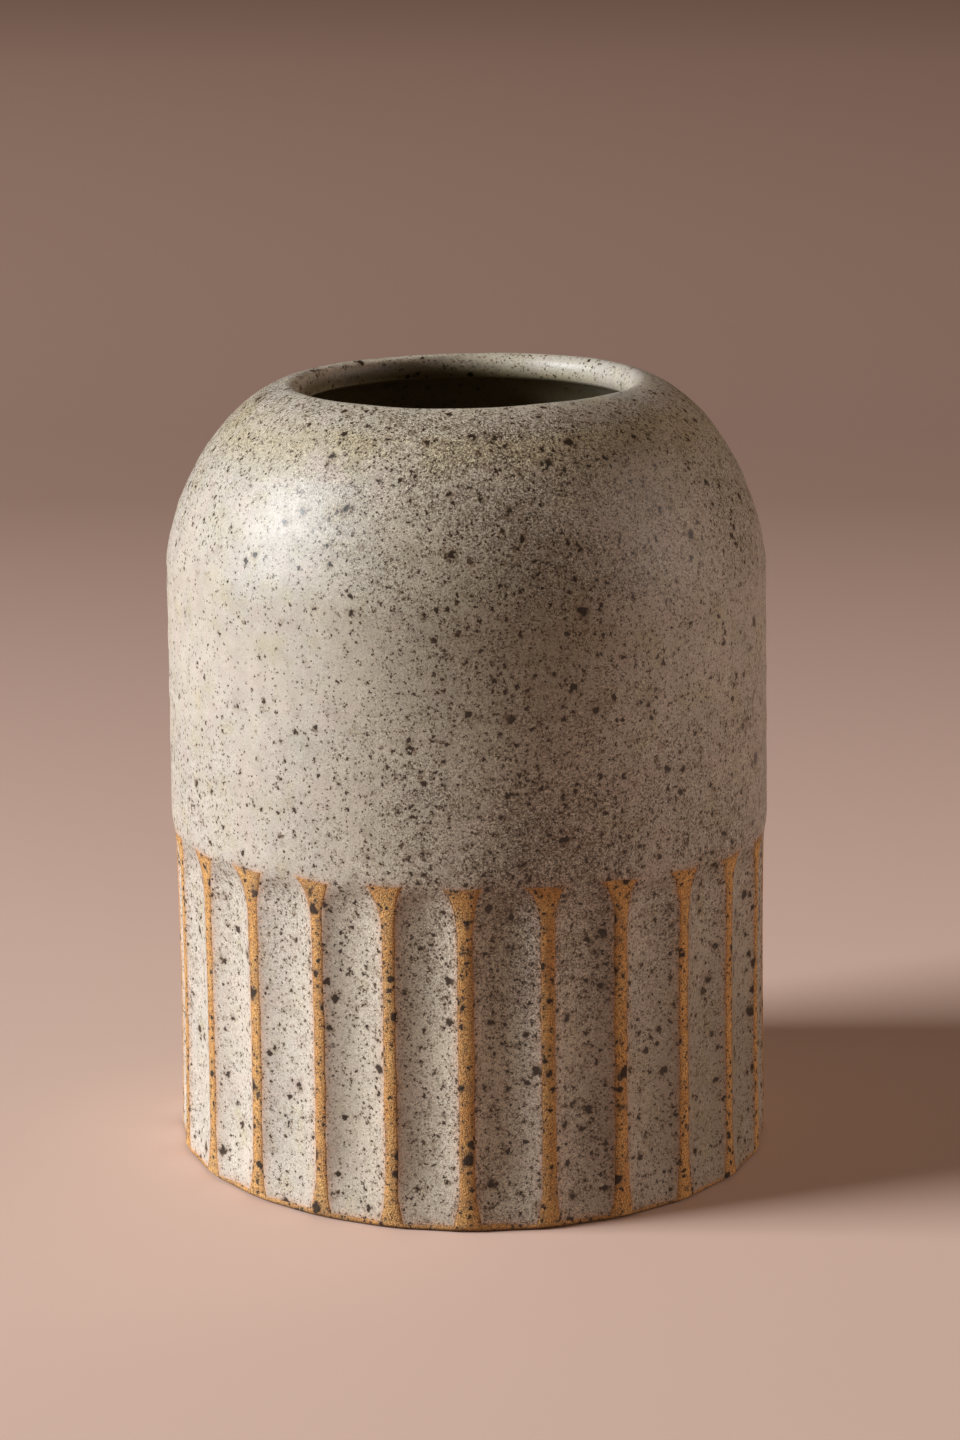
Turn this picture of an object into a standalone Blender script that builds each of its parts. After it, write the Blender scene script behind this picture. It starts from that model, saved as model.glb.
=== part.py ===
"""A small stoneware bud vase: a closed-in bottle form with a fluted lower half.

The pot is one fired piece. It is modelled as the three layers that a section through it shows:

  clay_body     the thrown wall, with 24 bare ridges left standing between the carved flutes,
                a bare foot band and a turned foot ring underneath
  outer_glaze   the speckled coat on the dome and lip, which runs down each flute as a finger
  liner_glaze   the coat poured inside, from just under the lip to the floor

Every surface is read from one description of the finished pot: a wall profile, less the bite
of the fluting tool. The clay lies one coat below it wherever there is glaze. All lengths are
metres, +Z is up, the pot stands on z = 0 and its front faces -Y.
"""

import math
from collections import namedtuple

import bmesh
import bpy

MM = 0.001

# The form
HEIGHT = 120.7 * MM             # where the dome would come level, just above the lip
WAIST_RADIUS = 45.9 * MM        # over the ridges, where the lower wall is narrowest
WAIST_HEIGHT = 33.5 * MM
FOOT_RADIUS = 46.35 * MM        # over the ridges, at the table
BELLY_RADIUS = 46.45 * MM       # glazed wall, just above the fluting
SHOULDER_RADIUS = 46.1 * MM     # where the dome begins
SHOULDER_HEIGHT = 91.7 * MM
RIM_RADIUS = 27.5 * MM          # where the dome ends and the lip turns in
DOME_TOP_RADIUS = 23.8 * MM     # where the dome would come level if it went on
DOME_FULLNESS = 1.25            # power of the dome's rise; 1 would be a plain ellipse

# The inside
WALL = 5.8 * MM                 # up to the shoulder; the dome thins from there to the lip
LIP = 3.7 * MM                  # thickness of the lip, which is a half round
FLOOR = 7.0 * MM                # height of the finished floor above the table
FLOOR_FILLET = 10.0 * MM        # radius where the wall turns into the floor

# The foot
FOOT_BAND = 1.1 * MM            # bare clay below the glaze
FOOT_ROUND = 1.2 * MM           # sponged edge where the wall meets the table
FOOT_RING_WIDTH = 7.0 * MM      # flat ring that the pot stands on
RECESS_DEPTH = 1.8 * MM         # turned hollow inside the foot ring
RECESS_SLOPE = 1.5 * MM         # run of the hollow's slanted side

# The fluting, cut with one round-nosed tool
FLUTES = 24
RIDGE_WIDTH = 2.4 * MM          # bare land left between two flutes
FLUTE_DEPTH = 1.2 * MM
FIRST_RIDGE = math.radians(-0.5)    # a ridge faces the front, this far off centre
ENTRY_BELOW = 4.5 * MM          # the tool would meet the wall this far below the table
ENTRY_LENGTH = 10.0 * MM        # and is at full depth this much higher
RUNOUT_ABOVE = 2.6 * MM         # the tool leaves the wall this far above the glaze line
RUNOUT_LENGTH = 10.0 * MM       # over which it is lifted out

# The glaze
GLAZE_LINE = 52.3 * MM          # height where the bare ridges end
STEP_HEIGHT = 6.0 * MM          # rise of the wall from the ridges to the belly
GLAZE = 0.5 * MM                # thickness of either coat
CLEARANCE = 0.3 * MM            # modelling gap between a coat and the clay, or another coat
COAT = GLAZE + CLEARANCE        # depth of the clay below a glazed surface
SEAM_TURN = math.radians(150)   # how far round the lip the outer coat goes before the liner

# What the maker's hand left
LEAN = 0.011                    # sideways drift of the form to -X, per metre of height
RIM_TILT = 0.023                # slope of the lip
HIGH_SIDE = math.radians(50)    # where the lip is highest, from the front towards +X
LINE_WAVE = 1.1 * MM            # the glaze line is this much higher front and back

# Facets
ROUND_COLUMNS = 2 * FLUTES      # round the plain parts: one on each ridge and each flute
FLUTE_COLUMNS = (-1, -0.5, 0, 0.5, 1)   # across a flute, as shares of its half width
DOME_STEPS = 6
LIP_TURNS = (37.5, 75, 112.5, 150)      # degrees round the lip
FILLET_STEPS = 3

PITCH = math.tau / FLUTES
FULL_HALF_WIDTH = (PITCH * WAIST_RADIUS - RIDGE_WIDTH) / 2
STEP_BOTTOM = GLAZE_LINE - STEP_HEIGHT / 2
STEP_TOP = GLAZE_LINE + STEP_HEIGHT / 2

# A point of the finished profile, with the direction that faces out of the pot's material
Station = namedtuple("Station", "radius height out_r out_z")


def smoothstep(x):
    """Ease from 0 to 1 as x goes from 0 to 1, flat at both ends."""
    x = min(max(x, 0.0), 1.0)
    return x * x * (3 - 2 * x)


def wall_radius(z):
    """Radius of the finished outer wall below the shoulder, over the ridges."""
    lower = WAIST_RADIUS + (FOOT_RADIUS - WAIST_RADIUS) * ((z - WAIST_HEIGHT) / WAIST_HEIGHT) ** 2
    along = (z - STEP_TOP) / (SHOULDER_HEIGHT - STEP_TOP)
    upper = BELLY_RADIUS + (SHOULDER_RADIUS - BELLY_RADIUS) * along
    return lower + (upper - lower) * smoothstep((z - STEP_BOTTOM) / STEP_HEIGHT)


def bite(z):
    """Share of its full depth that the fluting tool has at a height, as it goes in and out."""
    entered = (z + ENTRY_BELOW) / ENTRY_LENGTH
    remaining = (GLAZE_LINE + RUNOUT_ABOVE - z) / RUNOUT_LENGTH
    along = max(min(entered, remaining, 1.0), 0.0)
    return 1 - (1 - along) ** 2


def half_width(z):
    """Half the width of a flute, along the wall; above the glaze line it stays as it is there."""
    return FULL_HALF_WIDTH * math.sqrt(bite(min(z, GLAZE_LINE)))


def fluted_radius(offset, z):
    """Finished radius at a distance along the wall from a flute's centre line."""
    depth = FLUTE_DEPTH * (bite(z) - (offset / FULL_HALF_WIDTH) ** 2)
    return wall_radius(z) - max(depth, 0.0)


def foot_round(z):
    """How far the rounded bottom edge has drawn in at a height."""
    if z >= FOOT_ROUND:
        return 0.0
    return FOOT_ROUND * (1 - math.sqrt(1 - (1 - z / FOOT_ROUND) ** 2))


def place(radius, angle, z):
    """World position of a point of the pot; the angle runs from the front (-Y) towards +X."""
    x = radius * math.sin(angle)
    y = -radius * math.cos(angle)
    if z < SHOULDER_HEIGHT:
        swell = math.sin(math.pi * z / SHOULDER_HEIGHT) ** 2
        height = z + LINE_WAVE * swell * math.cos(2 * angle)
    else:
        rise = smoothstep((z - SHOULDER_HEIGHT) / (HEIGHT - SHOULDER_HEIGHT))
        height = z + RIM_TILT * rise * radius * math.cos(angle - HIGH_SIDE)
    return x - LEAN * z, y, height


# ---------------------------------------------------------------- profile stations

def dome_stations():
    """The outside from the shoulder to the lip, a stretched quarter ellipse cut short."""
    stations = []
    spread = SHOULDER_RADIUS - DOME_TOP_RADIUS
    climb = HEIGHT - SHOULDER_HEIGHT
    last_turn = math.acos((RIM_RADIUS - DOME_TOP_RADIUS) / spread)
    for step in range(DOME_STEPS + 1):
        turn = last_turn * step / DOME_STEPS
        radius = DOME_TOP_RADIUS + spread * math.cos(turn)
        height = SHOULDER_HEIGHT + climb * math.sin(turn) ** DOME_FULLNESS
        out_r, out_z = 1.0, 0.0
        if step:
            out_r = climb * DOME_FULLNESS * math.sin(turn) ** (DOME_FULLNESS - 1) * math.cos(turn)
            out_z = spread * math.sin(turn)
        length = math.hypot(out_r, out_z)
        stations.append(Station(radius, height, out_r / length, out_z / length))
    return stations


def lip_station(turn):
    """A point of the lip's half round, turned inwards from the dome's end by an angle."""
    end = dome_stations()[-1]
    out_r = end.out_r * math.cos(turn) - end.out_z * math.sin(turn)
    out_z = end.out_z * math.cos(turn) + end.out_r * math.sin(turn)
    radius = end.radius + LIP / 2 * (out_r - end.out_r)
    height = end.height + LIP / 2 * (out_z - end.out_z)
    return Station(radius, height, out_r, out_z)


def inside_stations():
    """The inside below the lip: the dome's underside, the wall, the fillet, the floor's edge."""
    stations = []
    for outside in reversed(dome_stations()[:-1]):
        share = (outside.radius - RIM_RADIUS) / (SHOULDER_RADIUS - RIM_RADIUS)
        thickness = LIP + (WALL - LIP) * share
        radius = outside.radius - thickness * outside.out_r
        height = outside.height - thickness * outside.out_z
        stations.append(Station(radius, height, -outside.out_r, -outside.out_z))
    for z in (STEP_TOP, STEP_BOTTOM):
        stations.append(Station(wall_radius(z) - WALL, z, -1.0, 0.0))
    fillet_top = FLOOR + FLOOR_FILLET
    fillet_centre = wall_radius(fillet_top) - WALL - FLOOR_FILLET
    for step in range(FILLET_STEPS + 1):
        turn = math.pi / 2 * step / FILLET_STEPS
        out_r, out_z = -math.cos(turn), math.sin(turn)
        radius = fillet_centre - FLOOR_FILLET * out_r
        height = fillet_top - FLOOR_FILLET * out_z
        stations.append(Station(radius, height, out_r, out_z))
    return stations


# ---------------------------------------------------------------- rings of vertices
# A ring is a list of (angle, vertex) pairs that goes once round, counted from the first ridge.

def plain_ring(bm, station, depth):
    """A ring round the plain part of the pot, at a depth below a station."""
    radius = station.radius - depth * station.out_r
    height = station.height - depth * station.out_z
    angles = [FIRST_RIDGE + math.tau * k / ROUND_COLUMNS for k in range(ROUND_COLUMNS)]
    return [(angle, bm.verts.new(place(radius, angle, height))) for angle in angles]


def flute_centre(flute):
    """Angle of a flute's centre line, halfway between two ridges."""
    return FIRST_RIDGE + (flute + 0.5) * PITCH


def flute_strip(bm, flute, z, depth, inset):
    """Vertices across one flute, at a depth below the finished surface."""
    edge = half_width(z) - inset
    strip = []
    for share in FLUTE_COLUMNS:
        offset = edge * share if abs(share) == 1 else half_width(z) * share
        angle = flute_centre(flute) + offset / WAIST_RADIUS
        radius = min(fluted_radius(offset, z), wall_radius(z) - foot_round(z)) - depth
        strip.append((angle, bm.verts.new(place(radius, angle, z))))
    return strip


def fluted_ring(bm, z, depth, inset):
    """A whole ring with the flutes' columns."""
    return [pair for flute in range(FLUTES) for pair in flute_strip(bm, flute, z, depth, inset)]


def ridge_edges(bm, flute, z):
    """The bare edges of the ridges on either side of a flute."""
    turn = half_width(z) / WAIST_RADIUS
    angles = (flute_centre(flute) - turn, flute_centre(flute) + turn)
    return [(angle, bm.verts.new(place(wall_radius(z), angle, z))) for angle in angles]


def skirt_strip(bm, flute, z, edges):
    """The clay across one flute: its floor, one coat down, between the two ridge edges."""
    left, right = edges
    return [left] + flute_strip(bm, flute, z, COAT, 0) + [right]


def flat(strips):
    """One ring from the strips of all flutes."""
    return [pair for strip in strips for pair in strip]


def split(ring):
    """The strips of all flutes from a ring that has the flutes' columns."""
    columns = len(FLUTE_COLUMNS)
    return [ring[flute * columns:(flute + 1) * columns] for flute in range(FLUTES)]


# ---------------------------------------------------------------- faces between rings

def add_face(bm, *pairs):
    """One face on (angle, vertex) pairs."""
    bm.faces.new([vert for _, vert in pairs])


def join_strips(bm, first, second):
    """Quads between two open rows of equal length."""
    for k in range(len(first) - 1):
        add_face(bm, first[k], first[k + 1], second[k + 1], second[k])


def join_rings(bm, first, second):
    """Quads between two equal rings, or triangles where their columns differ."""
    if len(first) == len(second):
        join_strips(bm, first + first[:1], second + second[:1])
        return
    turns_first = [angle for angle, _ in first] + [first[0][0] + math.tau, math.inf]
    turns_second = [angle for angle, _ in second] + [second[0][0] + math.tau, math.inf]
    i = j = 0
    while i < len(first) or j < len(second):
        here = first[i % len(first)]
        there = second[j % len(second)]
        if turns_first[i + 1] - turns_second[j] < turns_second[j + 1] - turns_first[i]:
            i += 1
            add_face(bm, here, first[i % len(first)], there)
        else:
            j += 1
            add_face(bm, here, second[j % len(second)], there)


def join_all(bm, rings):
    """Faces between each ring and the next, along the profile."""
    for first, second in zip(rings, rings[1:]):
        join_rings(bm, first, second)


def cap(bm, ring, upwards):
    """A flat face that closes a ring."""
    add_face(bm, *(ring if upwards else reversed(ring)))


# ---------------------------------------------------------------- the heights of the fluted part

def skirt_heights(lowest):
    """Rows up a flute: its start, both ends of its full depth, and two in the run-out."""
    full_to = GLAZE_LINE + RUNOUT_ABOVE - RUNOUT_LENGTH
    left = GLAZE_LINE - full_to
    return [
        lowest,
        ENTRY_LENGTH - ENTRY_BELOW,
        full_to,
        full_to + left * 0.45,
        full_to + left * 0.77,
    ]


def fading_heights(start):
    """Rows above the glaze line, while the flutes fade out."""
    return [start, GLAZE_LINE + RUNOUT_ABOVE * 0.4, GLAZE_LINE + RUNOUT_ABOVE * 0.75]


def belly_station():
    """The plain wall just above the fluting, from where it runs straight to the shoulder."""
    z = GLAZE_LINE + RUNOUT_ABOVE * 1.4
    return Station(wall_radius(z), z, 1.0, 0.0)


# ---------------------------------------------------------------- the three layers

def build_clay(bm):
    """The fired clay, from the hollow underneath, up the outside and down the inside."""
    ring_outer = FOOT_RADIUS - FOOT_ROUND
    ring_inner = ring_outer - FOOT_RING_WIDTH
    recess_edge = Station(ring_inner - RECESS_SLOPE, RECESS_DEPTH, 0, -1)
    ring_edge = Station(ring_inner, 0.0, 0, -1)
    under = [plain_ring(bm, station, 0) for station in (recess_edge, ring_edge)]
    cap(bm, under[0], upwards=False)
    foot = [fluted_ring(bm, z, 0, 0) for z in (0.0, FOOT_ROUND * 0.3, FOOT_BAND)]
    join_all(bm, under + foot)

    skirt = []
    for z in skirt_heights(FOOT_BAND) + [GLAZE_LINE]:
        if skirt:
            edges = [ridge_edges(bm, flute, z) for flute in range(FLUTES)]
        else:
            edges = [(strip[0], strip[-1]) for strip in split(foot[-1])]
        skirt.append([skirt_strip(bm, flute, z, edges[flute]) for flute in range(FLUTES)])
    join_all(bm, [flat(strips) for strips in skirt])
    close_foot_ledge(bm, split(foot[-1]), skirt[0])
    close_ridge_tops(bm, skirt[-1])

    under_glaze = flat([strip[1:-1] for strip in skirt[-1]])
    fading = [fluted_ring(bm, z, COAT, 0) for z in fading_heights(GLAZE_LINE)[1:]]
    lip = [lip_station(math.radians(degrees)) for degrees in LIP_TURNS]
    outside = [belly_station()] + dome_stations() + lip
    plain = outside + [lip_station(math.pi)] + inside_stations()
    rings = [plain_ring(bm, station, COAT) for station in plain]
    join_all(bm, [under_glaze] + fading + rings)
    cap(bm, rings[-1], upwards=True)


def close_foot_ledge(bm, foot_strips, skirt_strips):
    """The top of the foot band, which stands out under each finger of glaze."""
    for outer, strip in zip(foot_strips, skirt_strips):
        join_strips(bm, outer, strip[1:-1])


def close_ridge_tops(bm, strips):
    """The small ledge at the top of each bare ridge, under the edge of the glaze."""
    for strip, following in zip(strips, strips[1:] + strips[:1]):
        add_face(bm, strip[-1], following[0], following[1], strip[-2])


def build_outer_glaze(bm):
    """The outer coat: a shell over belly, dome and lip, with a finger down every flute."""
    over, under = 0, GLAZE
    start = GLAZE_LINE + CLEARANCE
    lip = [lip_station(math.radians(degrees)) for degrees in LIP_TURNS]
    plain = [belly_station()] + dome_stations() + lip
    sheets = []
    for depth in (over, under):
        fading = [fluted_ring(bm, z, depth, CLEARANCE) for z in fading_heights(start)]
        sheets.append(fading + [plain_ring(bm, station, depth) for station in plain])
    outside, inside = sheets
    join_all(bm, outside + inside[::-1])

    outer_tops, inner_tops = split(outside[0]), split(inside[0])
    heights = skirt_heights(FOOT_BAND + CLEARANCE)
    for flute in range(FLUTES):
        after = (flute + 1) % FLUTES
        join_strips(bm, [inner_tops[flute][-1], inner_tops[after][0]],
                    [outer_tops[flute][-1], outer_tops[after][0]])
        outer = [flute_strip(bm, flute, z, over, CLEARANCE) for z in heights]
        inner = [flute_strip(bm, flute, z, under, CLEARANCE) for z in heights]
        add_finger(bm, outer + [outer_tops[flute]], inner + [inner_tops[flute]])


def add_finger(bm, outer, inner):
    """One finger of glaze between its outer and inner rows, open only where it joins the coat."""
    join_strips(bm, inner[0], outer[0])
    for row in range(len(outer) - 1):
        join_strips(bm, outer[row], outer[row + 1])
        join_strips(bm, inner[row + 1], inner[row])
        add_face(bm, inner[row][0], outer[row][0], outer[row + 1][0], inner[row + 1][0])
        add_face(bm, outer[row][-1], inner[row][-1], inner[row + 1][-1], outer[row + 1][-1])


def build_liner_glaze(bm):
    """The inner coat: a bag from the seam under the lip down to the floor."""
    seam = SEAM_TURN + CLEARANCE / (LIP / 2 - COAT)
    stations = [lip_station(seam), lip_station(math.pi)] + inside_stations()
    inside = [plain_ring(bm, station, 0) for station in stations]
    behind = [plain_ring(bm, station, GLAZE) for station in stations]
    join_all(bm, behind[::-1] + inside)
    cap(bm, behind[-1], upwards=False)
    cap(bm, inside[-1], upwards=True)


# ---------------------------------------------------------------- objects and materials

def make_material(name, color, roughness):
    """A plain Principled material."""
    material = bpy.data.materials.new(name)
    material.use_nodes = True
    shader = material.node_tree.nodes["Principled BSDF"]
    shader.inputs["Base Color"].default_value = (*color, 1)
    shader.inputs["Roughness"].default_value = roughness
    shader.inputs["Metallic"].default_value = 0.0
    return material


def make_layer(name, build, material, parent):
    """One named object from a function that fills a bmesh."""
    bm = bmesh.new()
    build(bm)
    mesh = bpy.data.meshes.new(name)
    bm.to_mesh(mesh)
    bm.free()
    mesh.materials.append(material)
    mesh.shade_smooth()
    mesh.set_sharp_from_angle(angle=math.radians(35))
    layer = bpy.data.objects.new(name, mesh)
    layer.parent = parent
    bpy.context.scene.collection.objects.link(layer)


def main():
    """Clear the scene and build the vase."""
    for old in list(bpy.data.objects):
        bpy.data.objects.remove(old, do_unlink=True)
    vase = bpy.data.objects.new("bud_vase", None)
    bpy.context.scene.collection.objects.link(vase)

    amber_clay = make_material("amber_clay", (0.62, 0.33, 0.12), 0.8)
    speckled_glaze = make_material("speckled_glaze", (0.52, 0.48, 0.41), 0.42)
    dark_liner = make_material("dark_liner", (0.36, 0.32, 0.26), 0.5)
    make_layer("clay_body", build_clay, amber_clay, vase)
    make_layer("outer_glaze", build_outer_glaze, speckled_glaze, vase)
    make_layer("liner_glaze", build_liner_glaze, dark_liner, vase)


main()
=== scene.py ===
# %% [markdown]
# # A speckled stoneware bud vase
# The pot is thrown from iron-bearing clay, cut with flutes while it is leather hard, and
# then glazed. The tops of the ridges between the flutes are left bare, so that the fired
# clay shows there as warm amber stripes.
# The imported model gives the pot's size and place as three plain solids: the clay, the outer
# coat of glaze and the liner. This lesson makes a fine surface for each of them.
# The first step is to load the solids.

# %% Load the imported pot
import math

import bpy
import numpy as np
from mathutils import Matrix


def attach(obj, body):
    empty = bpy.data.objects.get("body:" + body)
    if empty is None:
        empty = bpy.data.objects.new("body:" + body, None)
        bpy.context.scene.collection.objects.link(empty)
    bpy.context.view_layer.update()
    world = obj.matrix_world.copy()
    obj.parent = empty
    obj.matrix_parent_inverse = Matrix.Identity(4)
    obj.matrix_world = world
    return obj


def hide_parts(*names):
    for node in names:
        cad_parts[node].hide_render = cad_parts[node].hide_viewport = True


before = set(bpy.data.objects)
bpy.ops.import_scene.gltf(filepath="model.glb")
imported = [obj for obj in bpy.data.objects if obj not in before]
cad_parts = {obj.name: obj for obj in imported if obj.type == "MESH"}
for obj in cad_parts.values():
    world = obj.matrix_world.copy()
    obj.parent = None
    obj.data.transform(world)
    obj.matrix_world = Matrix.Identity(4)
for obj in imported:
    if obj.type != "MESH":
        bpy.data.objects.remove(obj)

MM = 0.001
scene = bpy.context.scene
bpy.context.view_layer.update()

# %% [markdown]
# ## The camera
# A camera a little above the lip shows the mouth as a narrow ellipse. A long lens from
# over half a metre away keeps the sides of the pot nearly upright.

# %% Place the camera
CAMERA_PLACE = (1.1 * MM, -601.7 * MM, 224.2 * MM)
CAMERA_PITCH = math.radians(14.667)

camera_data = bpy.data.cameras.new("camera")
camera_data.lens = 100
camera_data.sensor_width = 36
camera = bpy.data.objects.new("camera", camera_data)
camera.location = CAMERA_PLACE
camera.rotation_euler = (math.pi / 2 - CAMERA_PITCH, 0, 0)
scene.collection.objects.link(camera)
scene.camera = camera
print("camera looks down by", round(math.degrees(CAMERA_PITCH), 1), "degrees")

# %% [markdown]
# ## One description of the finished pot
# The pot could be sculpted, or spun from a drawn outline. Both make it hard to let the
# glaze end exactly where the fluting tool left a ridge. So the whole finished surface is
# worked out instead: a profile gives radius and height, and the tool's bite is taken off.
# The sizes below are those that drive the solids, in millimetres.

# %% Driving sizes of the pot
LEAN, LINE_WAVE = 0.011, 1.1
RIM_TILT, HIGH_SIDE = 0.023, math.radians(50)
WAIST_RADIUS, WAIST_HEIGHT = 45.9, 33.5
FOOT_RADIUS, BELLY_RADIUS = 46.35, 46.45
SHOULDER_RADIUS, SHOULDER_HEIGHT = 46.1, 91.7
HEIGHT, RIM_RADIUS = 120.7, 27.5
DOME_TOP_RADIUS, DOME_FULLNESS = 23.8, 1.25
WALL, LIP, FLOOR, FLOOR_FILLET = 5.8, 3.7, 7.0, 10.0
ROLL = 2.3  # how far the inner half of the lip is drawn down
FOOT_BAND, FOOT_ROUND, FOOT_RING_WIDTH = 1.1, 1.2, 7.0
RECESS_DEPTH, RECESS_SLOPE = 1.8, 1.5
GLAZE_LINE, STEP_HEIGHT, GLAZE = 52.3, 6.0, 0.5
SEAM_TURN = math.radians(150)  # where round the lip the outer coat meets the liner
print("the dome would come level at", HEIGHT, "mm")


# %% The profile of the wall
def smoothstep(x):
    """3x^2 - 2x^3 for x from 0 to 1, held at 0 and 1 outside."""
    x = np.clip(x, 0, 1)
    return x * x * (3 - 2 * x)


def wall_radius(z):
    """A shallow parabola below the glaze line, a straight taper above, eased together."""
    lower = WAIST_RADIUS + (FOOT_RADIUS - WAIST_RADIUS) * ((z - WAIST_HEIGHT) / WAIST_HEIGHT) ** 2
    step_top = GLAZE_LINE + STEP_HEIGHT / 2
    along = (z - step_top) / (SHOULDER_HEIGHT - step_top)
    upper = BELLY_RADIUS + (SHOULDER_RADIUS - BELLY_RADIUS) * along
    return lower + (upper - lower) * smoothstep((z - step_top + STEP_HEIGHT) / STEP_HEIGHT)


print("wall radius at foot, waist and belly:",
      np.round(wall_radius(np.array([0, WAIST_HEIGHT, 60])), 2))

# %% [markdown]
# ## The rows of the surface
# A surface on a grid needs rows and columns. The rows run from the middle of the hollow
# underneath, out over the foot ring, up the wall, over the dome and the lip, and down the
# inside to the middle of the floor. They are close together where the shape turns or the
# glaze ends, and far apart where nothing happens.
# Each row keeps its radius, its height and the direction that faces out of the clay.


# %% Rows of the underside and the wall
def stretch(start, end, count, ease=1.0):
    """count rows after start, up to end: start + (end - start) * (k / count) ** ease."""
    return start + (end - start) * (np.arange(1, count + 1) / count) ** ease


def rows(radius, height, out_r, out_z):
    """Four equal columns of numbers, one line for each row of the grid."""
    return np.stack(np.broadcast_arrays(radius, height, out_r, out_z), axis=-1).astype(float)


POLE_RADIUS = 0.4  # of the ring that a pole's triangles close
TURNING_DEPTH, TURNING_PITCH = 0.05, 4.6  # of the faint rings left by turning the foot

ring_outer = FOOT_RADIUS - FOOT_ROUND
ring_inner = ring_outer - FOOT_RING_WIDTH
recess_edge = ring_inner - RECESS_SLOPE

under_radius = np.concatenate([
    stretch(POLE_RADIUS, recess_edge - 0.6, 32),
    stretch(recess_edge - 0.6, ring_inner + 0.6, 9),
    stretch(ring_inner + 0.6, ring_outer - 0.4, 3),
])
hollow = 1 - smoothstep((under_radius - recess_edge) / RECESS_SLOPE)
turned = TURNING_DEPTH * np.sin(math.tau * under_radius / TURNING_PITCH)
under_rows = rows(under_radius, hollow * (RECESS_DEPTH + turned), 0, -1)

wall_height = np.concatenate([
    [0.0],
    stretch(0, FOOT_BAND, 7, 1.8),
    stretch(FOOT_BAND, 6, 9, 1.8),
    stretch(6, GLAZE_LINE - 8, 24),
    GLAZE_LINE - stretch(0, 8, 20, 1.6)[-2::-1],
    [GLAZE_LINE],
    stretch(GLAZE_LINE, GLAZE_LINE + 8, 16, 1.6),
    stretch(GLAZE_LINE + 8, SHOULDER_HEIGHT, 12),
])
wall_rows = rows(wall_radius(wall_height), wall_height, 1, 0)
print(len(under_rows), "rows underneath,", len(wall_rows), "rows up the wall")


# %% Rows of the dome, the lip and the inside
def dome(turn):
    """Quarter ellipse whose rise is a power: r = top + spread cos t, z = shoulder + climb sin^p t."""
    spread, climb = SHOULDER_RADIUS - DOME_TOP_RADIUS, HEIGHT - SHOULDER_HEIGHT
    out_r = climb * DOME_FULLNESS * np.sin(turn) ** (DOME_FULLNESS - 1) * np.cos(turn)
    out_z = spread * np.sin(turn)
    length = np.hypot(out_r, out_z)
    height = SHOULDER_HEIGHT + climb * np.sin(turn) ** DOME_FULLNESS
    return rows(DOME_TOP_RADIUS + spread * np.cos(turn), height, out_r / length, out_z / length)


DOME_END = math.acos((RIM_RADIUS - DOME_TOP_RADIUS) / (SHOULDER_RADIUS - DOME_TOP_RADIUS))


def lip(turn):
    """Over the lip: a quarter circle from the dome's end, then a quarter ellipse drawn down inside."""
    end_r, end_z, up_r, up_z = dome(np.array([DOME_END]))[0]
    half = LIP / 2
    drop = np.where(turn > math.pi / 2, ROLL, half)
    inwards, upwards = half * np.sin(turn), drop * np.cos(turn)
    radius = end_r + (upwards - half) * up_r - inwards * up_z
    height = end_z + (upwards - half) * up_z + inwards * up_r
    steep = np.hypot(drop * np.sin(turn), half * np.cos(turn))
    side, top = drop * np.sin(turn) / steep, half * np.cos(turn) / steep
    return rows(radius, height, top * up_r - side * up_z, top * up_z + side * up_r)


def fillet(turn):
    """Quarter circle between the inner wall and the floor, with its centre inside the pot."""
    top = FLOOR + FLOOR_FILLET
    centre = wall_radius(top) - WALL - FLOOR_FILLET
    out_r, out_z = -np.cos(turn), np.sin(turn)
    return rows(centre - FLOOR_FILLET * out_r, top - FLOOR_FILLET * out_z, out_r, out_z)


dome_rows = dome(stretch(0, DOME_END, 22)[:-1])
dome_r, dome_z, over_r, over_z = dome(stretch(DOME_END, 0.02, 13)).T
inner_edge = LIP / 2 + ROLL
thinning = inner_edge + (WALL - inner_edge) * (dome_r - RIM_RADIUS) / (SHOULDER_RADIUS - RIM_RADIUS)
dome_inside = rows(dome_r - thinning * over_r, dome_z - thinning * over_z, -over_r, -over_z)
inner_height = stretch(SHOULDER_HEIGHT, FLOOR + FLOOR_FILLET, 10)[:-1]
inner_wall = rows(wall_radius(inner_height) - WALL, inner_height, -1, 0)
floor_edge = wall_radius(FLOOR + FLOOR_FILLET) - WALL - FLOOR_FILLET
floor_rows = rows(stretch(floor_edge, POLE_RADIUS, 5), FLOOR, 0, 1)
lip_outer = lip(np.concatenate([[0.0], stretch(0, SEAM_TURN, 12)]))
lip_under = lip(stretch(SEAM_TURN, math.pi, 3))

profile = np.concatenate([
    under_rows, wall_rows, dome_rows, lip_outer, lip_under,
    dome_inside, inner_wall, fillet(np.linspace(0, math.pi / 2, 7)), floor_rows,
])
FOOT_ROW = len(under_rows) + int(np.argmin(np.abs(wall_height - FOOT_BAND)))
LINE_ROW = len(under_rows) + int(np.argmin(np.abs(wall_height - GLAZE_LINE)))
SEAM_ROW = len(under_rows) + len(wall_rows) + len(dome_rows) + len(lip_outer) - 1
print("profile of", len(profile), "rows; glaze line at row", LINE_ROW, "and seam at", SEAM_ROW)

# %% [markdown]
# ## The fluting tool
# A round-nosed tool is drawn up the wall 24 times. It bites in near the foot, stays at full
# depth, and is lifted out above the glaze line. Where it bites less deeply it also cuts a
# narrower groove, which is why the ridges between two grooves spread out at their tops.
# The maker spaced the ridges by eye and pulled the tool out a little to one side. A seeded
# generator gives every ridge and every stroke its own small differences, and a few ridges
# are set off or narrowed by name.

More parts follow.
